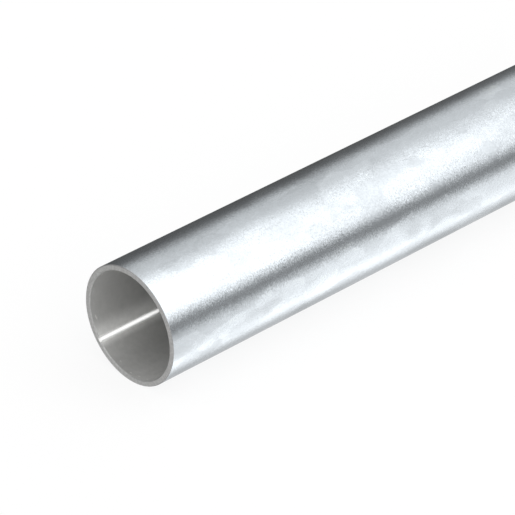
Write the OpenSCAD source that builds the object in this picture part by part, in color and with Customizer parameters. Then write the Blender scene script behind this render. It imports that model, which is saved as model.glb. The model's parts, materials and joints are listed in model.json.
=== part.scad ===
// Steel conduit pipe: a welded, galvanised steel tube with plain ends,
// sawn square and deburred, lying along X on the plane z = 0.

/* [Tube] */
// Length of the pipe
pipe_l = 3000; // [100:10:4000]
// Outside diameter
tube_od = 25; // [16:1:63]
// Thickness of the wall
wall_t = 1.2; // [1:0.1:2]

/* [Weld seam] */
// Width of the weld bead where it meets the bore
bead_w = 1; // [0.6:0.1:1.2]
// Height of the bead's crown above the bore
bead_h = 0.2; // [0.1:0.02:0.3]
// Place of the seam, turned from straight down towards +Y
seam_angle = 50; // [0:5:355]

/* [Cut ends] */
// Depth of the deburring chamfer into the wall at each mouth
mouth_chamfer = 0.2; // [0.1:0.05:0.4]
// Edge break around the outside of each cut
edge_break = 0.15; // [0.05:0.05:0.3]

/* [Hidden] */
$fn = 96;
outer_r = tube_od / 2;
bore_r = outer_r - wall_t;
// Radius of the arc that spans the bead's width at the bead's height
crown_r = (bead_w * bead_w / 4 + bead_h * bead_h) / (2 * bead_h);
// How far cutting shapes run past the faces that they cut
overrun = 1;

// A length of bar along Z from z = 0, with its two outer edges broken
module bar_with_broken_edges() {
    rotate_extrude()
        polygon([
            [0, 0],
            [outer_r - edge_break, 0],
            [outer_r, edge_break],
            [outer_r, pipe_l - edge_break],
            [outer_r - edge_break, pipe_l],
            [0, pipe_l]
        ]);
}

// The bead's section: a low arc that rises into the bore from within the wall
module bead_section() {
    intersection() {
        circle(r = bore_r + wall_t / 2);
        translate([bore_r + crown_r - bead_h, 0])
            circle(r = crown_r);
    }
}

// The space down the middle of the tube, which the bead takes a strip from
module bore_beside_bead() {
    translate([0, 0, -overrun])
        linear_extrude(height = pipe_l + 2 * overrun)
            difference() {
                circle(r = bore_r);
                bead_section();
            }
}

// The cone that a deburring tool cuts at the mouth on z = 0
module mouth_cut() {
    cone_l = mouth_chamfer + bead_h + overrun;
    translate([0, 0, -overrun])
        cylinder(h = cone_l, r1 = bore_r + mouth_chamfer + overrun, r2 = bore_r - bead_h);
}

// The whole tube along Z, with the weld bead on its +X side
module upright_tube() {
    difference() {
        bar_with_broken_edges();
        bore_beside_bead();
        mouth_cut();
        translate([0, 0, pipe_l])
            mirror([0, 0, 1])
                mouth_cut();
    }
}

// The pipe as it lies, with its middle over the origin
module conduit_pipe() {
    color("gainsboro")
        translate([-pipe_l / 2, 0, outer_r])
            rotate([0, 90, 0])
                rotate([0, 0, seam_angle])
                    upright_tube();
}

conduit_pipe();
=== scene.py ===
"""Visual model of a plain-ended steel conduit pipe, laid out as a Blender add-on and run as a script."""
import json
from math import acos, atan2, cos, hypot, pi, radians, sin, sqrt, tau

import bpy
from bpy.props import FloatProperty, FloatVectorProperty, IntProperty, PointerProperty
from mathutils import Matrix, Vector


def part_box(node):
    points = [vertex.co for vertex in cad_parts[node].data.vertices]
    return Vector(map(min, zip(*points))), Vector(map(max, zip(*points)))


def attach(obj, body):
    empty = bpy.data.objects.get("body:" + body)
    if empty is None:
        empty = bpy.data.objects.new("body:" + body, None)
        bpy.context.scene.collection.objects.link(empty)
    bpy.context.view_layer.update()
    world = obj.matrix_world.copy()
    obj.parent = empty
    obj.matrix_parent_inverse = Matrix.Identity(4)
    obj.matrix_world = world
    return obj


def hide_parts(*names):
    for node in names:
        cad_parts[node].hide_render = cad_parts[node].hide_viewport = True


bl_info = {
    "name": "Steel Conduit Pipe",
    "version": (1, 0, 0),
    "blender": (4, 5, 0),
    "location": "3D View > Sidebar > Conduit",
    "description": "Builds a galvanised steel conduit pipe around its packed model, and a small studio",
    "category": "Add Mesh",
}

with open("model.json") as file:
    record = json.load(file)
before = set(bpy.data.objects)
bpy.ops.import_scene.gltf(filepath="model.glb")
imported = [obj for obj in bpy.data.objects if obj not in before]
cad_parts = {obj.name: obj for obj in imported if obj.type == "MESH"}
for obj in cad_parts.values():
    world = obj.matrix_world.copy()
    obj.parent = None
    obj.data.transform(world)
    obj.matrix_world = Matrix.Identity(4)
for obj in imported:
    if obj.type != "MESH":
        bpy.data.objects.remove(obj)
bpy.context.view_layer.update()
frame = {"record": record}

# ---------------------------------------------------------------------------
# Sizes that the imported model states
# ---------------------------------------------------------------------------
NODE = "conduit_pipe"
PIECE = "galvanised_conduit"
MM = 0.001
LOW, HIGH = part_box(NODE)


def mount_size(name, key):
    """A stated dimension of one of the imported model's mounts, in metres."""
    found = next(m for m in frame["record"]["mounts"] if m["name"] == name)
    return found["dims"][key] * MM


PIPE_LENGTH = HIGH.x - LOW.x
OUTER_RADIUS = mount_size("near_end", "r_mm")
BORE_RADIUS = mount_size("bore", "r_mm")
EDGE_BREAK = (PIPE_LENGTH - mount_size("near_end", "length_mm")) / 2
MOUTH_CHAMFER = (PIPE_LENGTH - mount_size("bore", "length_mm")) / 2
AXIS_HEIGHT = OUTER_RADIUS


# ---------------------------------------------------------------------------
# Settings
# ---------------------------------------------------------------------------
class ConduitTubeSettings(bpy.types.PropertyGroup):
    """The tube's section, its cut ends and its weld"""

    outer_radius: FloatProperty(
        name="Outside Radius",
        description="Radius of the outside of the tube",
        default=OUTER_RADIUS,
        unit="LENGTH",
    )
    bore_radius: FloatProperty(
        name="Bore Radius",
        description="Radius of the bore",
        default=BORE_RADIUS,
        unit="LENGTH",
    )
    length: FloatProperty(
        name="Length",
        description="Length of the pipe from cut end to cut end",
        default=PIPE_LENGTH,
        unit="LENGTH",
    )
    mouth_chamfer: FloatProperty(
        name="Mouth Chamfer",
        description="Size of the deburring chamfer inside each mouth",
        default=MOUTH_CHAMFER,
        unit="LENGTH",
    )
    edge_break: FloatProperty(
        name="Edge Break",
        description="Size of the broken edge around the outside of each cut",
        default=EDGE_BREAK,
        unit="LENGTH",
    )
    bead_width: FloatProperty(
        name="Bead Width",
        description="Width of the weld bead inside the tube",
        default=1.0 * MM,
        unit="LENGTH",
    )
    bead_height: FloatProperty(
        name="Bead Height",
        description="Height of the weld bead's crown above the bore",
        default=0.2 * MM,
        unit="LENGTH",
    )
    seam_angle: FloatProperty(
        name="Seam Angle",
        description="Place of the weld, turned from straight down towards +Y",
        default=radians(50),
        subtype="ANGLE",
    )
    wall_steps: IntProperty(
        name="Wall Steps",
        description="Faces around the plain part of the tube",
        default=240,
    )
    bead_steps: IntProperty(
        name="Bead Steps",
        description="Faces across the weld bead",
        default=12,
    )
    stretches: IntProperty(
        name="Stretches",
        description="Number of stretches that the mesh is cut into along the pipe, each a row of its map",
        default=5,
        min=2,
    )


class ConduitFinishSettings(bpy.types.PropertyGroup):
    """Colours and textures of the pipe's surfaces"""

    zinc_color: FloatVectorProperty(
        name="Zinc",
        description="Colour of the zinc coat outside",
        default=(0.765, 0.815, 0.855),
        subtype="COLOR",
    )
    zinc_roughness: FloatProperty(
        name="Zinc Roughness",
        description="Roughness of the zinc coat outside",
        default=0.26,
    )
    cut_color: FloatVectorProperty(
        name="Cut Steel",
        description="Colour of the sawn faces",
        default=(0.545, 0.545, 0.538),
        subtype="COLOR",
    )
    mouth_color: FloatVectorProperty(
        name="Mouth Chamfer",
        description="Colour of the deburred edge inside each mouth",
        default=(0.47, 0.47, 0.464),
        subtype="COLOR",
    )
    edge_color: FloatVectorProperty(
        name="Edge Break",
        description="Colour of the broken edge around the outside of each cut",
        default=(0.4, 0.4, 0.4),
        subtype="COLOR",
    )
    bore_color: FloatVectorProperty(
        name="Bore",
        description="Colour of the dull zinc in the bore",
        default=(0.436, 0.436, 0.426),
        subtype="COLOR",
    )
    weld_color: FloatVectorProperty(
        name="Weld",
        description="Colour of the bright weld bead",
        default=(0.86, 0.86, 0.845),
        subtype="COLOR",
    )
    crystal_length: FloatProperty(
        name="Crystal Length",
        description="Usual length of a zinc crystal along the pipe",
        default=7.5 * MM,
        unit="LENGTH",
    )
    crystal_width: FloatProperty(
        name="Crystal Width",
        description="Usual width of a zinc crystal around the pipe",
        default=3.6 * MM,
        unit="LENGTH",
    )
    grain_size: FloatProperty(
        name="Grain Size",
        description="Size of the fine grain in the zinc",
        default=0.24 * MM,
        unit="LENGTH",
    )


class ConduitStudioSettings(bpy.types.PropertyGroup):
    """The floor, the dome and the camera"""

    floor_size: FloatProperty(
        name="Floor Size",
        description="Side of the square floor",
        default=160.0,
        unit="LENGTH",
    )
    floor_color: FloatVectorProperty(
        name="Floor",
        description="Colour of the floor",
        default=(0.95, 0.95, 0.95),
        subtype="COLOR",
    )
    backdrop_share: FloatProperty(
        name="Backdrop Share",
        description="How much of the floor's look is the white backdrop, and not its own shading",
        default=0.85,
        min=0,
        max=1,
        subtype="FACTOR",
    )
    dome_radius: FloatProperty(
        name="Dome Radius",
        description="Radius of the dome that lights the pipe and is mirrored in it",
        default=150.0,
        unit="LENGTH",
    )
    azimuth: FloatProperty(
        name="Azimuth",
        description="Turn of the camera round the pipe, from looking along +Y",
        default=radians(-43.4),
        subtype="ANGLE",
    )
    elevation: FloatProperty(
        name="Elevation",
        description="Angle of the camera above the floor",
        default=radians(31.98),
        subtype="ANGLE",
    )
    lens: FloatProperty(
        name="Lens",
        description="Focal length on a 36 mm sensor, in millimetres",
        default=270.4,
    )
    distance: FloatProperty(
        name="Distance",
        description="Distance from the camera to the point that it aims at",
        default=0.7533,
        unit="LENGTH",
    )
    aim_along: FloatProperty(
        name="Aim Along",
        description="How far along the pipe from its near end the camera aims",
        default=33.57 * MM,
        unit="LENGTH",
    )
    aim_above: FloatProperty(
        name="Aim Above",
        description="How far above the pipe's axis, as the camera sees it, the camera aims",
        default=0.78 * MM,
        unit="LENGTH",
    )


# ---------------------------------------------------------------------------
# Modelling helpers
# ---------------------------------------------------------------------------
# Points nearer than this are one point of the mesh
MERGE_DISTANCE = 0.002 * MM
# How far a face's normal points along the pipe, at least, on a square cut and on a slope at an end
SQUARE_CUT = 0.9
SLOPING = 0.3
# Edges where the surface turns by less than this are shaded smooth
SMOOTH_UP_TO = radians(30)


def around_axis(point):
    """Radius and angle of a point about the pipe's axis; the angle runs from +Y towards +Z."""
    return hypot(point.y, point.z - AXIS_HEIGHT), atan2(point.z - AXIS_HEIGHT, point.y)


def angle_between(a, b):
    """The signed turn from angle b to angle a, within half a turn."""
    return (a - b + pi) % tau - pi


def select_only(piece):
    """Makes this the only selected object, and the active one."""
    bpy.ops.object.select_all(action="DESELECT")
    piece.select_set(True)
    bpy.context.view_layer.objects.active = piece


def pick_points(piece, test):
    """In edit mode, selects the vertices whose place passes the test, and nothing else."""
    bpy.ops.mesh.select_mode(type="VERT")
    bpy.ops.mesh.select_all(action="DESELECT")
    bpy.ops.object.mode_set(mode="OBJECT")
    for vertex in piece.data.vertices:
        vertex.select = test(vertex.co)
    bpy.ops.object.mode_set(mode="EDIT")


def pick_faces(piece, test):
    """In edit mode, selects the faces whose centre and normal pass the test, and nothing else."""
    bpy.ops.mesh.select_mode(type="FACE")
    bpy.ops.mesh.select_all(action="DESELECT")
    bpy.ops.object.mode_set(mode="OBJECT")
    for face in piece.data.polygons:
        face.select = test(face.center, face.normal)
    bpy.ops.object.mode_set(mode="EDIT")


# ---------------------------------------------------------------------------
# The tube
# ---------------------------------------------------------------------------
def seam_direction(tube):
    """Angle of the weld's middle about the axis, from +Y towards +Z."""
    return tube.seam_angle - pi / 2


def bead_arc(tube):
    """Radius of the crown's arc, and the distance of its centre from the pipe's axis."""
    half = tube.bead_width / 2
    arc_radius = (half**2 + tube.bead_height**2) / (2 * tube.bead_height)
    return arc_radius, tube.bore_radius + arc_radius - tube.bead_height


def bead_half_angle(tube):
    """Angle at the pipe's axis between the bead's middle and its foot on the bore."""
    arc_radius, centre = bead_arc(tube)
    bore = tube.bore_radius
    return acos((bore**2 + centre**2 - arc_radius**2) / (2 * bore * centre))


def bead_rise(tube, turn):
    """How far the bead stands above the bore at an angle from its middle."""
    arc_radius, centre = bead_arc(tube)
    return tube.bore_radius - (centre * cos(turn) - sqrt(arc_radius**2 - (centre * sin(turn)) ** 2))


def add_wall_section(tube):
    """The wall cut along its length, as a flat outline beside the weld, with its corners taken off."""
    start = seam_direction(tube) - bead_half_angle(tube)
    middle = (tube.outer_radius + tube.bore_radius) / 2
    wall = tube.outer_radius - tube.bore_radius
    bpy.ops.mesh.primitive_plane_add(
        size=1,
        location=(0, middle * cos(start), AXIS_HEIGHT + middle * sin(start)),
        rotation=(start, 0, 0),
    )
    piece = bpy.context.active_object
    piece.scale = (tube.length, wall, 1)
    bpy.ops.object.transform_apply(location=True, rotation=True, scale=True)
    bpy.ops.object.mode_set(mode="EDIT")
    pick_points(piece, lambda point: around_axis(point)[0] > middle)
    bpy.ops.mesh.bevel(offset=tube.edge_break, affect="VERTICES")
    pick_points(piece, lambda point: around_axis(point)[0] < tube.bore_radius + wall / 4)
    bpy.ops.mesh.bevel(offset=tube.mouth_chamfer, affect="VERTICES")
    bpy.ops.mesh.select_all(action="SELECT")
    bpy.ops.mesh.delete(type="ONLY_FACE")
    pick_points(piece, lambda point: abs(point.x) < (tube.length - tube.edge_break) / 2)
    bpy.ops.mesh.subdivide(number_cuts=tube.stretches - 1)
    return piece


def spin_wall(tube):
    """Carries the wall's outline across the weld and then round the rest of the tube."""
    weld = 2 * bead_half_angle(tube)
    turns = ((tube.bead_steps, weld), (tube.wall_steps, tau - weld))
    bpy.ops.mesh.select_all(action="SELECT")
    for steps, angle in turns:
        bpy.ops.mesh.spin(steps=steps, angle=angle, center=(0, 0, AXIS_HEIGHT), axis=(-1, 0, 0))
    bpy.ops.mesh.select_all(action="SELECT")
    bpy.ops.mesh.remove_doubles(threshold=MERGE_DISTANCE)
    bpy.ops.mesh.normals_make_consistent(inside=False)


def raise_bead(piece, tube):
    """Lifts the bore's rows of points at the weld into the bead's crown, cut back by the mouth's chamfer."""
    half = bead_half_angle(tube)
    seam = seam_direction(tube)
    step = 2 * half / tube.bead_steps
    inner = tube.bore_radius + tube.mouth_chamfer / 2
    mouth = tube.length / 2 - tube.mouth_chamfer - 2 * tube.bead_height
    for row in range(1, tube.bead_steps):
        turn = row * step - half
        rise = bead_rise(tube, turn)
        for end in (-1, 0, 1):

            def in_row(point):
                radius, angle = around_axis(point)
                beyond = (point.x > mouth) - (point.x < -mouth)
                return radius < inner and abs(angle_between(angle, seam + turn)) < step / 3 and beyond == end

            pick_points(piece, in_row)
            bpy.ops.transform.translate(
                value=(-end * rise, -rise * cos(seam + turn), -rise * sin(seam + turn))
            )


def kind_of_face(tube, centre, normal):
    """Which surface of the tube a face belongs to."""
    radius, angle = around_axis(centre)
    inside = radius < (tube.outer_radius + tube.bore_radius) / 2
    at_weld = abs(angle_between(angle, seam_direction(tube))) < bead_half_angle(tube)
    if abs(normal.x) > SQUARE_CUT:
        return "cut"
    if abs(normal.x) > SLOPING and inside:
        return "bead_end" if at_weld else "mouth"
    if abs(normal.x) > SLOPING:
        return "edge"
    if inside:
        return "weld" if at_weld else "bore"
    return "outside"


def paint_surfaces(piece, tube, materials):
    """Gives each kind of surface its own material."""
    for slot, (kinds, material) in enumerate(materials):
        piece.data.materials.append(material)
        pick_faces(piece, lambda centre, normal: kind_of_face(tube, centre, normal) in kinds)
        piece.active_material_index = slot
        bpy.ops.object.material_slot_assign()


# Height of each surface's rows in the map, as a share of the map
MAP_ROWS = {
    "outside": 0.124,
    "bore": 0.048,
    "weld": 0.008,
    "cut": 0.007,
    "mouth": 0.004,
    "bead_end": 0.004,
    "edge": 0.004,
}
# Space between two rows, and at the ends of each
MAP_GAP = 0.002
# Surfaces that run the whole length, and so have a row for each stretch
LONG_SURFACES = ("outside", "bore", "weld")


def map_rows(tube):
    """Bottom of each row of the map, by surface and by stretch or end."""
    bottoms = {}
    bottom = MAP_GAP
    for kind, height in MAP_ROWS.items():
        along = range(tube.stretches) if kind in LONG_SURFACES else (0, tube.stretches - 1)
        for stretch in along:
            bottoms[kind, stretch] = bottom
            bottom += height + MAP_GAP
    return bottoms


def lay_out_map(piece, tube):
    """Unrolls the tube for baking, with a row for each stretch of a long surface and each ring at an end."""
    start = seam_direction(tube) - bead_half_angle(tube)
    bottoms = map_rows(tube)
    places = piece.data.uv_layers.new(name="OFBake").uv
    for face in piece.data.polygons:
        kind = kind_of_face(tube, face.center, face.normal)
        share = face.center.x / tube.length + 0.5
        stretch = min(int(share * tube.stretches), tube.stretches - 1)
        middle = around_axis(face.center)[1]
        turned = (middle - start) % tau
        for loop, vertex in zip(face.loop_indices, face.vertices):
            point = piece.data.vertices[vertex].co
            around = turned + angle_between(around_axis(point)[1], middle)
            if kind in ("weld", "bead_end"):
                around *= pi / bead_half_angle(tube)
            along = float(point.x > face.center.x)
            across = float(around_axis(point)[0] > around_axis(face.center)[0])
            u, v = (along, around / tau) if kind in LONG_SURFACES else (around / tau, across)
            places[loop].vector = (
                MAP_GAP + (1 - 2 * MAP_GAP) * min(max(u, 0), 1),
                bottoms[kind, stretch] + MAP_ROWS[kind] * min(max(v, 0), 1),
            )


# ---------------------------------------------------------------------------
# Shader helpers
# ---------------------------------------------------------------------------
# Width of a column and height of a row of nodes
NODE_GRID = (220, 180)


def add_node(tree, kind, place, **settings):
    """Adds a node at a place on the grid, its column and then its row, with its settings."""
    node = tree.nodes.new(kind)
    node.location = (place[0] * NODE_GRID[0], -place[1] * NODE_GRID[1])
    for name, value in settings.items():
        setattr(node, name, value)
    return node


def feed(tree, socket, operand):
    """Links an operand that is a socket, and sets one that is a number or a vector."""
    if isinstance(operand, bpy.types.NodeSocket):
        tree.links.new(operand, socket)
    elif operand is not None:
        socket.default_value = operand


def math_node(tree, place, operation, first, second=None, third=None, clamp=False):
    """A Math node; each operand is a socket to link or a number to set. Returns its output."""
    node = add_node(tree, "ShaderNodeMath", place, operation=operation, use_clamp=clamp)
    for index, operand in enumerate((first, second, third)):
        feed(tree, node.inputs[index], operand)
    return node.outputs[0]


def vector_math(tree, place, operation, first, second=None, scale=None):
    """A Vector Math node; each operand is a socket to link or a vector to set. Returns its output."""
    node = add_node(tree, "ShaderNodeVectorMath", place, operation=operation)
    feed(tree, node.inputs[0], first)
    feed(tree, node.inputs[1], second)
    # The node has this socket only while its operation takes a scale
    if scale is not None:
        feed(tree, node.inputs["Scale"], scale)
    return node.outputs[0]


def blend_node(tree, place, share, first, second):
    """A Mix node for numbers; each operand is a socket to link or a number to set. Returns its output."""
    node = add_node(tree, "ShaderNodeMix", place, data_type="FLOAT")
    for index, operand in ((0, share), (2, first), (3, second)):
        feed(tree, node.inputs[index], operand)
    return node.outputs[0]


def noise_node(tree, place, vector, scale=1, detail=2):
    """A Noise Texture of this scale over these coordinates."""
    node = add_node(tree, "ShaderNodeTexNoise", place)
    tree.links.new(vector, node.inputs["Vector"])
    node.inputs["Scale"].default_value = scale
    node.inputs["Detail"].default_value = detail
    return node


def ease_node(tree, place, value, start, end):
    """A share that goes smoothly from 0 where the value is start to 1 where it is end. Returns its output."""
    node = add_node(tree, "ShaderNodeMapRange", place, interpolation_type="SMOOTHSTEP")
    tree.links.new(value, node.inputs["Value"])
    node.inputs["From Min"].default_value = start
    node.inputs["From Max"].default_value = end
    return node.outputs[0]


def new_group(name, inputs, outputs):
    """An empty shader node group with these sockets. Returns the tree and its input and output nodes."""
    tree = bpy.data.node_groups.new(name, "ShaderNodeTree")
    for socket_name, kind, default in inputs:
        socket = tree.interface.new_socket(socket_name, in_out="INPUT", socket_type=kind)
        if default is not None:
            socket.default_value = default
    for socket_name, kind in outputs:
        tree.interface.new_socket(socket_name, in_out="OUTPUT", socket_type=kind)
    return tree, tree.nodes.new("NodeGroupInput"), tree.nodes.new("NodeGroupOutput")


def place_group(tree, group, place, **values):
    """Puts a node group in a material and sets its inputs by name, with _ for a space."""
    node = add_node(tree, "ShaderNodeGroup", place, node_tree=group)
    for name, value in values.items():
        node.inputs[name.replace("_", " ")].default_value = value
    return node


def new_material(name):
    """A material with its Principled BSDF. Returns the material, its tree and the shader."""
    material = bpy.data.materials.new(name)
    material.use_nodes = True
    tree = material.node_tree
    return material, tree, tree.nodes["Principled BSDF"]


# ---------------------------------------------------------------------------
# Effects that the finishes share
# ---------------------------------------------------------------------------
# How finely, and how far, the crystals' borders are pushed out of line
RAGGED_SCALE = 220
RAGGED_PUSH = 2.8 * MM
# How softly one crystal goes over into the next, from 0 to 1
BORDER_SOFTNESS = 0.35
# How steeply a crystal fades across itself, and its strength in the middle
FADE_SLOPE = 2
FADE_MIDDLE = 0.7
# The two ways in which streaks cross the pipe, and the size of a streak
STREAK_TURNS = (radians(24), radians(-32))
STREAK_SIZE = (7 * MM, 0.8 * MM, 0.8 * MM)
# Where a crystal's random number, from 0 to 1, takes it from the first way to the second
STREAK_CHANGE = (0.35, 0.65)
# A vector that is the middle of a random colour
MID_COLOR = (0.5, 0.5, 0.5)


def crystal_group():
    """Zinc crystals: patches of differing tone and lean with soft, ragged borders and faint streaks."""
    tree, start, end = new_group(
        "Zinc Crystals",
        [
            ("Vector", "NodeSocketVector", None),
            ("Length", "NodeSocketFloat", 8 * MM),
            ("Width", "NodeSocketFloat", 4 * MM),
            ("Lean", "NodeSocketFloat", 0.02),
        ],
        [("Tone", "NodeSocketFloat"), ("Streak", "NodeSocketFloat"), ("Normal", "NodeSocketVector")],
    )
    link = tree.links.new
    # Ragged borders
    ragged = noise_node(tree, (1, 2), start.outputs["Vector"], RAGGED_SCALE, detail=3)
    off_middle = vector_math(tree, (2, 2), "SUBTRACT", ragged.outputs["Color"], MID_COLOR)
    push = vector_math(tree, (3, 2), "SCALE", off_middle, scale=RAGGED_PUSH)
    warped = vector_math(tree, (4, 1), "ADD", start.outputs["Vector"], push)
    # Cells that are longer than they are wide
    size = add_node(tree, "ShaderNodeCombineXYZ", (3, 0))
    link(start.outputs["Length"], size.inputs["X"])
    link(start.outputs["Width"], size.inputs["Y"])
    link(start.outputs["Width"], size.inputs["Z"])
    cells_at = vector_math(tree, (5, 0), "DIVIDE", warped, size.outputs[0])
    cells = add_node(tree, "ShaderNodeTexVoronoi", (6, 0), feature="SMOOTH_F1")
    link(cells_at, cells.inputs["Vector"])
    cells.inputs["Scale"].default_value = 1
    cells.inputs["Smoothness"].default_value = BORDER_SOFTNESS
    random = add_node(tree, "ShaderNodeSeparateColor", (7, 0))
    link(cells.outputs["Color"], random.inputs["Color"])
    # Each crystal has a tone of its own, from -1 to 1, and fades across in a direction of its own
    strength = math_node(tree, (8, 0), "MULTIPLY_ADD", random.outputs["Red"], 2, -1)
    way = add_node(tree, "ShaderNodeCombineXYZ", (8, 2))
    link(random.outputs["Green"], way.inputs["X"])
    link(random.outputs["Blue"], way.inputs["Y"])
    link(random.outputs["Green"], way.inputs["Z"])
    fade_way = vector_math(tree, (9, 2), "SUBTRACT", way.outputs[0], MID_COLOR)
    within = vector_math(tree, (8, 1), "SUBTRACT", cells_at, cells.outputs["Position"])
    slope = add_node(tree, "ShaderNodeVectorMath", (10, 1), operation="DOT_PRODUCT")
    link(within, slope.inputs[0])
    link(fade_way, slope.inputs[1])
    fade = math_node(
        tree, (11, 1), "MULTIPLY_ADD", slope.outputs["Value"], FADE_SLOPE, FADE_MIDDLE, clamp=True
    )
    faded = math_node(tree, (12, 0), "MULTIPLY", strength, fade)
    link(math_node(tree, (13, 0), "MULTIPLY_ADD", faded, 0.5, 0.5), end.inputs["Tone"])
    # Streaks that cross the pipe one way in some crystals and the other way in the rest
    streaks = []
    for row, turn in enumerate(STREAK_TURNS, start=4):
        drawn = add_node(tree, "ShaderNodeMapping", (9, row), vector_type="TEXTURE")
        link(start.outputs["Vector"], drawn.inputs["Vector"])
        drawn.inputs["Rotation"].default_value = (0, turn, turn)
        drawn.inputs["Scale"].default_value = STREAK_SIZE
        streaks.append(noise_node(tree, (10, row), drawn.outputs["Vector"]).outputs["Fac"])
    share = ease_node(tree, (10, 6), random.outputs["Green"], *STREAK_CHANGE)
    link(blend_node(tree, (11, 4), share, *streaks), end.inputs["Streak"])
    # Each crystal's face leans a little its own way
    lean = vector_math(tree, (8, 7), "SUBTRACT", cells.outputs["Color"], MID_COLOR)
    scaled = vector_math(tree, (9, 7), "SCALE", lean, scale=start.outputs["Lean"])
    surface = add_node(tree, "ShaderNodeNewGeometry", (9, 8))
    leaning = vector_math(tree, (10, 7), "ADD", surface.outputs["Normal"], scaled)
    link(vector_math(tree, (11, 7), "NORMALIZE", leaning), end.inputs["Normal"])
    return tree


def grain_group():
    """Fine grain, drawn out round the pipe: a spread of tone, and a lean of the surface at each grain."""
    tree, start, end = new_group(
        "Fine Grain",
        [
            ("Vector", "NodeSocketVector", None),
            ("Normal", "NodeSocketVector", None),
            ("Size", "NodeSocketFloat", 1 * MM),
            ("Draw", "NodeSocketFloat", 1),
            ("Lean", "NodeSocketFloat", 0.1),
            ("Contrast", "NodeSocketFloat", 0.1),
        ],
        [("Tone", "NodeSocketFloat"), ("Normal", "NodeSocketVector")],
    )
    link = tree.links.new
    longer = math_node(tree, (1, 1), "MULTIPLY", start.outputs["Size"], start.outputs["Draw"])
    size = add_node(tree, "ShaderNodeCombineXYZ", (2, 1))
    link(start.outputs["Size"], size.inputs["X"])
    link(longer, size.inputs["Y"])
    link(longer, size.inputs["Z"])
    grains_at = vector_math(tree, (3, 0), "DIVIDE", start.outputs["Vector"], size.outputs[0])
    grains = noise_node(tree, (4, 0), grains_at)
    off_middle = math_node(tree, (5, 0), "SUBTRACT", grains.outputs["Fac"], 0.5)
    tone = math_node(tree, (6, 0), "MULTIPLY_ADD", off_middle, start.outputs["Contrast"], 1)
    link(tone, end.inputs["Tone"])
    lean = vector_math(tree, (5, 2), "SUBTRACT", grains.outputs["Color"], MID_COLOR)
    scaled = vector_math(tree, (6, 2), "SCALE", lean, scale=start.outputs["Lean"])
    leaning = vector_math(tree, (7, 2), "ADD", start.outputs["Normal"], scaled)
    link(vector_math(tree, (8, 2), "NORMALIZE", leaning), end.inputs["Normal"])
    return tree


def weld_angle_group(tube):
    """Angle about the pipe's axis from the middle of the weld; it jumps by a full turn opposite the weld."""
    tree, start, end = new_group(
        "Angle From Weld", [("Vector", "NodeSocketVector", None)], [("Angle", "NodeSocketFloat")]
    )
    from_axis = add_node(tree, "ShaderNodeMapping", (1, 0), vector_type="TEXTURE")
    from_axis.inputs["Location"].default_value = (0, 0, AXIS_HEIGHT)
    from_axis.inputs["Rotation"].default_value = (seam_direction(tube), 0, 0)
    tree.links.new(start.outputs["Vector"], from_axis.inputs["Vector"])
    parts = add_node(tree, "ShaderNodeSeparateXYZ", (2, 0))
    tree.links.new(from_axis.outputs[0], parts.inputs[0])
    angle = math_node(tree, (3, 0), "ARCTAN2", parts.outputs["Z"], parts.outputs["Y"])
    tree.links.new(angle, end.inputs["Angle"])
    return tree


# ---------------------------------------------------------------------------
# Finishes
# ---------------------------------------------------------------------------
def add_grain(tree, grain, place, vector, normal, **values):
    """Puts the fine grain in a material, over the surface that this normal gives."""
    fine = place_group(tree, grain, place, **values)
    tree.links.new(vector, fine.inputs["Vector"])
    tree.links.new(normal, fine.inputs["Normal"])
    return fine


# Where the pattern of the crystals starts, which sets how they fall on the pipe
CRYSTALS_START = (28 * MM, -63 * MM, 60 * MM)
# How far each crystal's face leans
CRYSTAL_LEAN = 0.018
# Slow changes in a metre of the pipe, along it and across it
SLOW_CHANGES = (12, 50, 50)
# Tone of the zinc: its darkest, and what the crystals, the streaks and the slow changes add at most
DARKEST_TONE = 0.73
CRYSTAL_TONE = 0.34
STREAK_TONE = 0.15
SLOW_TONE = 0.1
# What the brightest crystals and the slow changes do to its roughness
CRYSTAL_ROUGHNESS = -0.05
SLOW_ROUGHNESS = 0.04


def zinc_finish(finish, crystals, grain):
    """The outside: bright zinc with crystals, a fine grain and slow changes along the pipe."""
    material, tree, shader = new_material("zinc_coat")
    link = tree.links.new
    place = add_node(tree, "ShaderNodeTexCoord", (-10, 1)).outputs["Object"]
    spangle = place_group(
        tree,
        crystals,
        (-7, 1),
        Length=finish.crystal_length,
        Width=finish.crystal_width,
        Lean=CRYSTAL_LEAN,
    )
    start = add_node(tree, "ShaderNodeMapping", (-8, 1))
    start.inputs["Location"].default_value = CRYSTALS_START
    link(place, start.inputs["Vector"])
    link(start.outputs["Vector"], spangle.inputs["Vector"])
    leaning = spangle.outputs["Normal"]
    fine = add_grain(
        tree, grain, (-6, 3), place, leaning, Size=finish.grain_size, Draw=1.4, Lean=0.22, Contrast=0.2
    )
    link(fine.outputs["Normal"], shader.inputs["Normal"])
    slow = noise_node(tree, (-7, 4), vector_math(tree, (-8, 4), "MULTIPLY", place, SLOW_CHANGES))
    # Colour: steps in tone from crystal to crystal, with faint streaks
    tone = math_node(tree, (-5, 0), "MULTIPLY_ADD", spangle.outputs["Tone"], CRYSTAL_TONE, DARKEST_TONE)
    tone = math_node(tree, (-4, 0), "MULTIPLY_ADD", spangle.outputs["Streak"], STREAK_TONE, tone)
    tone = math_node(tree, (-3, 1), "MULTIPLY_ADD", slow.outputs["Fac"], SLOW_TONE, tone)
    tone = math_node(tree, (-3, 2), "MULTIPLY", tone, fine.outputs["Tone"])
    color = vector_math(tree, (-2, 0), "SCALE", tuple(finish.zinc_color), scale=tone)
    link(color, shader.inputs["Base Color"])
    shader.inputs["Metallic"].default_value = 1
    # Roughness
    rough = math_node(
        tree, (-5, 2), "MULTIPLY_ADD", spangle.outputs["Tone"], CRYSTAL_ROUGHNESS, finish.zinc_roughness
    )
    rough = math_node(tree, (-4, 2), "MULTIPLY_ADD", slow.outputs["Fac"], SLOW_ROUGHNESS, rough)
    link(rough, shader.inputs["Roughness"])
    return material


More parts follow.
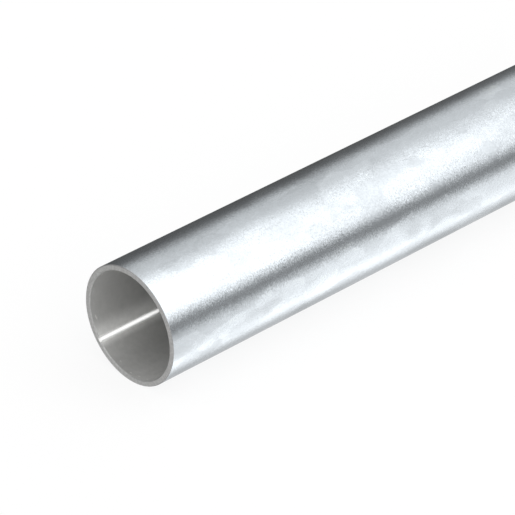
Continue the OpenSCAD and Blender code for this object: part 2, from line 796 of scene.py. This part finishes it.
def steel_finish(name, color, grain, roughness):
    """Bare steel with a fine grain, for what a saw or a deburring tool has left."""
    material, tree, shader = new_material(name)
    link = tree.links.new
    place = add_node(tree, "ShaderNodeTexCoord", (-9, 1)).outputs["Object"]
    surface = add_node(tree, "ShaderNodeNewGeometry", (-9, 3)).outputs["Normal"]
    fine = add_grain(tree, grain, (-7, 1), place, surface, Size=0.5 * MM, Draw=1, Lean=0.1, Contrast=0.7)
    toned = vector_math(tree, (-3, 0), "SCALE", tuple(color), scale=fine.outputs["Tone"])
    link(toned, shader.inputs["Base Color"])
    link(fine.outputs["Normal"], shader.inputs["Normal"])
    shader.inputs["Metallic"].default_value = 1
    shader.inputs["Roughness"].default_value = roughness
    return material


# Angles from the weld, up or down the bore's wall, between which each painted glow and painted shade in the
# bore's colour comes on
PAINTED_GLOW_ABOVE = (radians(22), radians(3))
PAINTED_GLOW_BELOW = (radians(-11), radians(-2))
PAINTED_GLOW_BESIDE = (radians(4.5), radians(2.2))
PAINTED_SHADE_DOWN = (radians(-6), radians(-30))
PAINTED_SHADE_UP = (radians(-68), radians(-36))
# What each of them adds to the bore's tone
PAINTED_GLOW_GAIN = 0.74
PAINTED_GLOW_BESIDE_GAIN = 0.5
PAINTED_SHADE_GAIN = -0.15
# Size of a scuff, and the levels of its noise between which it comes on
SCUFF_SIZE = (0.4 * MM, 1.6 * MM, 1.6 * MM)
SCUFF_EDGE = (0.63, 0.74)
# Distances from the cut between which the scuffs come on, and what they add to the bore's tone
SCUFF_REACH = (2.5 * MM, 0.8 * MM)
SCUFF_GAIN = 0.5


def bore_finish(tube, finish, grain, weld_angle):
    """The bore: dull zinc, with a painted glow by the weld and painted shade further below it, and scuffed
    just inside each mouth.
    """
    material, tree, shader = new_material("bore_zinc")
    link = tree.links.new
    place = add_node(tree, "ShaderNodeTexCoord", (-11, 1)).outputs["Object"]
    surface = add_node(tree, "ShaderNodeNewGeometry", (-9, 3)).outputs["Normal"]
    fine = add_grain(tree, grain, (-7, 2), place, surface, Size=1.2 * MM, Draw=1, Lean=0.1, Contrast=0.3)
    from_weld = place_group(tree, weld_angle, (-8, 0))
    link(place, from_weld.inputs["Vector"])
    turn = from_weld.outputs["Angle"]
    # Painted glow: the bore is painted paler above the weld, a little below it and just beside it, as light
    # spread from the bead's bright line
    above = ease_node(tree, (-6, 0), turn, *PAINTED_GLOW_ABOVE)
    below = ease_node(tree, (-6, 1), turn, *PAINTED_GLOW_BELOW)
    pale = math_node(tree, (-5, 0), "MULTIPLY", above, below)
    gain = math_node(tree, (-4, 0), "MULTIPLY_ADD", pale, PAINTED_GLOW_GAIN, 1)
    off_weld = math_node(tree, (-7, -1), "ABSOLUTE", turn)
    beside = ease_node(tree, (-6, -1), off_weld, *PAINTED_GLOW_BESIDE)
    gain = math_node(tree, (-4, -1), "MULTIPLY_ADD", beside, PAINTED_GLOW_BESIDE_GAIN, gain)
    # Painted shade: further below the weld the bore is painted a little darker
    down_from_weld = ease_node(tree, (-6, 7), turn, *PAINTED_SHADE_DOWN)
    up_from_bottom = ease_node(tree, (-6, 8), turn, *PAINTED_SHADE_UP)
    darker = math_node(tree, (-5, 7), "MULTIPLY", down_from_weld, up_from_bottom)
    gain = math_node(tree, (-4, 7), "MULTIPLY_ADD", darker, PAINTED_SHADE_GAIN, gain)
    # The deburring tool has left a few short bright marks round each mouth
    parts = add_node(tree, "ShaderNodeSeparateXYZ", (-7, 4))
    link(place, parts.inputs[0])
    off_centre = math_node(tree, (-6, 4), "ABSOLUTE", parts.outputs["X"])
    by_mouth = ease_node(tree, (-5, 4), off_centre, *(tube.length / 2 - reach for reach in SCUFF_REACH))
    marks = noise_node(tree, (-6, 5), vector_math(tree, (-7, 5), "DIVIDE", place, SCUFF_SIZE))
    scuffs = ease_node(tree, (-5, 5), marks.outputs["Fac"], *SCUFF_EDGE)
    scuffs = math_node(tree, (-4, 4), "MULTIPLY", scuffs, by_mouth)
    gain = math_node(tree, (-3, 3), "MULTIPLY_ADD", scuffs, SCUFF_GAIN, gain)
    gain = math_node(tree, (-3, 1), "MULTIPLY", gain, fine.outputs["Tone"])
    color = vector_math(tree, (-2, 0), "SCALE", tuple(finish.bore_color), scale=gain)
    link(color, shader.inputs["Base Color"])
    link(fine.outputs["Normal"], shader.inputs["Normal"])
    shader.inputs["Roughness"].default_value = 0.6
    shader.inputs["Specular IOR Level"].default_value = 0.3
    return material


# How far the weld's ripples face the nearer mouth, beside a normal of 1
RIPPLE_LEAN = 1.5
# How far below the bead's middle its painted highlight lies, and the angles over which that painted highlight
# dims on either side
PAINTED_HIGHLIGHT_DROP = radians(0.6)
PAINTED_HIGHLIGHT_EDGE = (radians(3.4), radians(0.6))
# Tone of the bead at its foot, and what the painted highlight along its crown adds
FOOT_TONE = 0.5
PAINTED_HIGHLIGHT_GAIN = 0.5


def weld_finish(tube, finish, grain, weld_angle):
    """The weld bead: bright bare metal, whose ripples face the nearer mouth, with a highlight painted along
    its crown.
    """
    material, tree, shader = new_material("weld_bead")
    link = tree.links.new
    place = add_node(tree, "ShaderNodeTexCoord", (-11, 1)).outputs["Object"]
    surface = add_node(tree, "ShaderNodeNewGeometry", (-9, 3)).outputs["Normal"]
    parts = add_node(tree, "ShaderNodeSeparateXYZ", (-10, 2))
    link(place, parts.inputs[0])
    end = math_node(tree, (-9, 2), "SIGN", parts.outputs["X"])
    towards_mouth = vector_math(tree, (-8, 2), "SCALE", (RIPPLE_LEAN, 0, 0), scale=end)
    facing = vector_math(tree, (-7, 2), "ADD", surface, towards_mouth)
    seam = seam_direction(tube)
    facing = vector_math(tree, (-7, 3), "ADD", facing, (0, -cos(seam), -sin(seam)))
    rippled = vector_math(tree, (-6, 2), "NORMALIZE", facing)
    fine = add_grain(tree, grain, (-5, 1), place, rippled, Size=0.4 * MM, Draw=2, Lean=0.15, Contrast=0.15)
    # Painted highlight: the colour is brightest along its crown, and a little below it
    from_weld = place_group(tree, weld_angle, (-9, -1))
    link(place, from_weld.inputs["Vector"])
    from_crown = math_node(tree, (-8, -1), "ADD", from_weld.outputs["Angle"], PAINTED_HIGHLIGHT_DROP)
    off_crown = math_node(tree, (-7, -1), "ABSOLUTE", from_crown)
    crown = ease_node(tree, (-6, -1), off_crown, *PAINTED_HIGHLIGHT_EDGE)
    gain = math_node(tree, (-5, -1), "MULTIPLY_ADD", crown, PAINTED_HIGHLIGHT_GAIN, FOOT_TONE)
    gain = math_node(tree, (-4, -1), "MULTIPLY", gain, fine.outputs["Tone"])
    toned = vector_math(tree, (-3, 0), "SCALE", tuple(finish.weld_color), scale=gain)
    link(toned, shader.inputs["Base Color"])
    link(fine.outputs["Normal"], shader.inputs["Normal"])
    shader.inputs["Metallic"].default_value = 1
    shader.inputs["Roughness"].default_value = 0.3
    return material


# ---------------------------------------------------------------------------
# Studio
# ---------------------------------------------------------------------------
# Brightness of the dome by degrees about the pipe's axis, from +Y towards +Z, where 1 is white.
# The first level is beside the pipe, and the second is further on along +X.
AROUND_PIPE = (
    (0, 0.09, 0.13),
    (14, 0.085, 0.2),
    (28, 0.215, 0.57),
    (42, 0.58, 0.7),
    (68, 0.7, 0.58),
    (87, 1.4, 0.48),
    (112, 1.65, 0.9),
    (153, 1.76, 0.6),
    (171, 0.2, 0.17),
    (182, 0.13, 0.115),
    (201, 0.92, 0.94),
    (228, 0.87, 1.1),
    (250, 1.45, 1.38),
    (279, 0.46, 0.51),
    (314, 0.68, 0.68),
    (327, 0.06, 0.06),
)
# How far towards +X a direction has to point, from 0 to 1, for the dome to go over to the second level
FURTHER_ON = (0.57, 0.65)
# The same for the wall at each end, with the wall's own level and its share over the bands
NEAR_WALL = (-0.05, -0.35)
NEAR_LEVEL = 1.15
NEAR_SHARE = 0.45
FAR_WALL = (0.75, 0.95)
FAR_LEVEL = 0.7
FAR_SHARE = 0.6


def around_ramp(tree, place):
    """A Color Ramp of the levels around the pipe: red is beside the pipe, and green is further on."""
    node = add_node(tree, "ShaderNodeValToRGB", place)
    elements = node.color_ramp.elements
    elements.remove(elements[-1])
    elements[0].position = 0
    elements[0].color = (*AROUND_PIPE[0][1:], 0, 1)
    for turn, beside, further in (*AROUND_PIPE[1:], (360, *AROUND_PIPE[0][1:])):
        elements.new(turn / 360).color = (beside, further, 0, 1)
    return node


def dome_finish():
    """Soft light and dark screens in long bands along the pipe, showing through a pale wall at each end."""
    material = bpy.data.materials.new("studio_dome")
    material.use_nodes = True
    material.cycles.emission_sampling = "FRONT"
    tree = material.node_tree
    tree.nodes.clear()
    link = tree.links.new
    place = add_node(tree, "ShaderNodeTexCoord", (-9, 0)).outputs["Object"]
    parts = add_node(tree, "ShaderNodeSeparateXYZ", (-7, 0))
    link(vector_math(tree, (-8, 0), "NORMALIZE", place), parts.inputs[0])
    angle = math_node(tree, (-6, 0), "ARCTAN2", parts.outputs["Z"], parts.outputs["Y"])
    turns = math_node(tree, (-5, 0), "DIVIDE", angle, tau)
    around = around_ramp(tree, (-3, 0))
    link(math_node(tree, (-4, 0), "FRACT", turns), around.inputs["Fac"])
    levels = add_node(tree, "ShaderNodeSeparateColor", (-2, 0))
    link(around.outputs["Color"], levels.inputs["Color"])
    further = ease_node(tree, (-2, 1), parts.outputs["X"], *FURTHER_ON)
    level = blend_node(tree, (-1, 0), further, levels.outputs["Red"], levels.outputs["Green"])
    near = ease_node(tree, (-2, 2), parts.outputs["X"], *NEAR_WALL)
    near = math_node(tree, (-1, 2), "MULTIPLY", near, NEAR_SHARE)
    level = blend_node(tree, (0, 0), near, level, NEAR_LEVEL)
    far = ease_node(tree, (-1, 3), parts.outputs["X"], *FAR_WALL)
    far = math_node(tree, (0, 3), "MULTIPLY", far, FAR_SHARE)
    level = blend_node(tree, (1, 0), far, level, FAR_LEVEL)
    light = add_node(tree, "ShaderNodeEmission", (2, 0))
    link(level, light.inputs["Strength"])
    out = add_node(tree, "ShaderNodeOutputMaterial", (3, 0))
    link(light.outputs[0], out.inputs["Surface"])
    return material


def add_dome(studio):
    """The dome round everything: it lights the pipe, the metal mirrors it, and the camera sees through it."""
    bpy.ops.mesh.primitive_uv_sphere_add(segments=48, ring_count=24, radius=studio.dome_radius)
    dome = bpy.context.active_object
    dome.name = "dome"
    bpy.ops.object.mode_set(mode="EDIT")
    bpy.ops.mesh.flip_normals()
    bpy.ops.object.mode_set(mode="OBJECT")
    dome.data.materials.append(dome_finish())
    dome.visible_camera = False


def light_world():
    """Plain white, which is the background that the camera sees."""
    world = bpy.data.worlds.new("studio")
    bpy.context.scene.world = world
    world.use_nodes = True
    world.cycles.sampling_method = "NONE"
    background = world.node_tree.nodes["Background"]
    background.inputs["Color"].default_value = (1, 1, 1, 1)
    background.inputs["Strength"].default_value = 1


def floor_finish(studio):
    """Pale floor: its own shading and shadow, mixed with the backdrop's white where seen or mirrored."""
    material, tree, shader = new_material("studio_floor")
    link = tree.links.new
    shader.inputs["Base Color"].default_value = (*studio.floor_color, 1)
    shader.inputs["Roughness"].default_value = 0.9
    shader.inputs["Specular IOR Level"].default_value = 0
    white = add_node(tree, "ShaderNodeEmission", (0, 2))
    rays = add_node(tree, "ShaderNodeLightPath", (-4, 1))
    seen = math_node(tree, (-3, 1), "ADD", rays.outputs["Is Camera Ray"], rays.outputs["Is Glossy Ray"])
    seen = math_node(tree, (-2, 1), "ADD", seen, rays.outputs["Is Transmission Ray"], clamp=True)
    share = math_node(tree, (-1, 1), "MULTIPLY", seen, studio.backdrop_share)
    mix = add_node(tree, "ShaderNodeMixShader", (2, 1))
    link(share, mix.inputs["Fac"])
    link(shader.outputs[0], mix.inputs[1])
    link(white.outputs[0], mix.inputs[2])
    link(mix.outputs[0], tree.nodes["Material Output"].inputs["Surface"])
    return material


def add_floor(studio):
    """The floor that the pipe lies on."""
    bpy.ops.mesh.primitive_plane_add(size=studio.floor_size, location=(0, 0, 0))
    floor = bpy.context.active_object
    floor.name = "floor"
    floor.data.materials.append(floor_finish(studio))
    floor.visible_glossy = False


def add_camera(studio):
    """The camera, turned round the pipe's near end."""
    azimuth, elevation = studio.azimuth, studio.elevation
    right = Vector((cos(azimuth), sin(azimuth), 0))
    back = Vector((sin(azimuth) * cos(elevation), -cos(azimuth) * cos(elevation), sin(elevation)))
    up = back.cross(right)
    aim = Vector((LOW.x + studio.aim_along, 0, AXIS_HEIGHT)) + up * studio.aim_above
    bpy.ops.object.camera_add(location=aim + back * studio.distance)
    camera = bpy.context.active_object
    camera.name = "camera"
    camera.rotation_euler = back.to_track_quat("Z", "Y").to_euler()
    camera.data.lens = studio.lens
    camera.data.sensor_width = 36
    camera.data.clip_start = 0.01
    bpy.context.scene.camera = camera


# ---------------------------------------------------------------------------
# Operators, panel and registration
# ---------------------------------------------------------------------------
class CONDUIT_OT_build_pipe(bpy.types.Operator):
    """Models the welded tube and gives each of its surfaces its finish"""

    bl_idname = "conduit.build_pipe"
    bl_label = "Build Pipe"
    bl_options = {"REGISTER", "UNDO"}

    def execute(self, context):
        tube, finish = context.scene.conduit_tube, context.scene.conduit_finish
        bpy.ops.object.select_all(action="DESELECT")
        piece = add_wall_section(tube)
        piece.name = PIECE
        spin_wall(tube)
        raise_bead(piece, tube)
        crystals, grain, weld_angle = crystal_group(), grain_group(), weld_angle_group(tube)
        paint_surfaces(
            piece,
            tube,
            (
                (("outside",), zinc_finish(finish, crystals, grain)),
                (("bore",), bore_finish(tube, finish, grain, weld_angle)),
                (("weld", "bead_end"), weld_finish(tube, finish, grain, weld_angle)),
                (("cut",), steel_finish("sawn_steel", finish.cut_color, grain, roughness=0.5)),
                (("mouth",), steel_finish("deburred_steel", finish.mouth_color, grain, roughness=0.6)),
                (("edge",), steel_finish("broken_edge_steel", finish.edge_color, grain, roughness=0.6)),
            ),
        )
        bpy.ops.object.mode_set(mode="OBJECT")
        lay_out_map(piece, tube)
        select_only(piece)
        bpy.ops.object.shade_smooth_by_angle(angle=SMOOTH_UP_TO)
        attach(piece, "root")
        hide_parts(NODE)
        return {"FINISHED"}


class CONDUIT_OT_build_studio(bpy.types.Operator):
    """Adds the pale floor, the dome of soft light and the camera"""

    bl_idname = "conduit.build_studio"
    bl_label = "Build Studio"
    bl_options = {"REGISTER", "UNDO"}

    def execute(self, context):
        studio = context.scene.conduit_studio
        context.scene.view_settings.view_transform = "Standard"
        light_world()
        add_dome(studio)
        add_floor(studio)
        add_camera(studio)
        return {"FINISHED"}


class CONDUIT_PT_sidebar(bpy.types.Panel):
    """Lists the settings and the buttons"""

    bl_label = "Conduit"
    bl_idname = "CONDUIT_PT_sidebar"
    bl_space_type = "VIEW_3D"
    bl_region_type = "UI"
    bl_category = "Conduit"

    def draw(self, context):
        for group in (context.scene.conduit_tube, context.scene.conduit_finish, context.scene.conduit_studio):
            box = self.layout.box()
            for name in group.__annotations__:
                box.prop(group, name)
        self.layout.operator(CONDUIT_OT_build_pipe.bl_idname)
        self.layout.operator(CONDUIT_OT_build_studio.bl_idname)


CLASSES = (
    ConduitTubeSettings,
    ConduitFinishSettings,
    ConduitStudioSettings,
    CONDUIT_OT_build_pipe,
    CONDUIT_OT_build_studio,
    CONDUIT_PT_sidebar,
)


def register():
    for cls in CLASSES:
        bpy.utils.register_class(cls)
    bpy.types.Scene.conduit_tube = PointerProperty(type=ConduitTubeSettings)
    bpy.types.Scene.conduit_finish = PointerProperty(type=ConduitFinishSettings)
    bpy.types.Scene.conduit_studio = PointerProperty(type=ConduitStudioSettings)


def unregister():
    del bpy.types.Scene.conduit_studio
    del bpy.types.Scene.conduit_finish
    del bpy.types.Scene.conduit_tube
    for cls in reversed(CLASSES):
        bpy.utils.unregister_class(cls)


def main():
    """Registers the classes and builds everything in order."""
    register()
    bpy.ops.conduit.build_pipe()
    bpy.ops.conduit.build_studio()


if __name__ == "__main__":
    main()
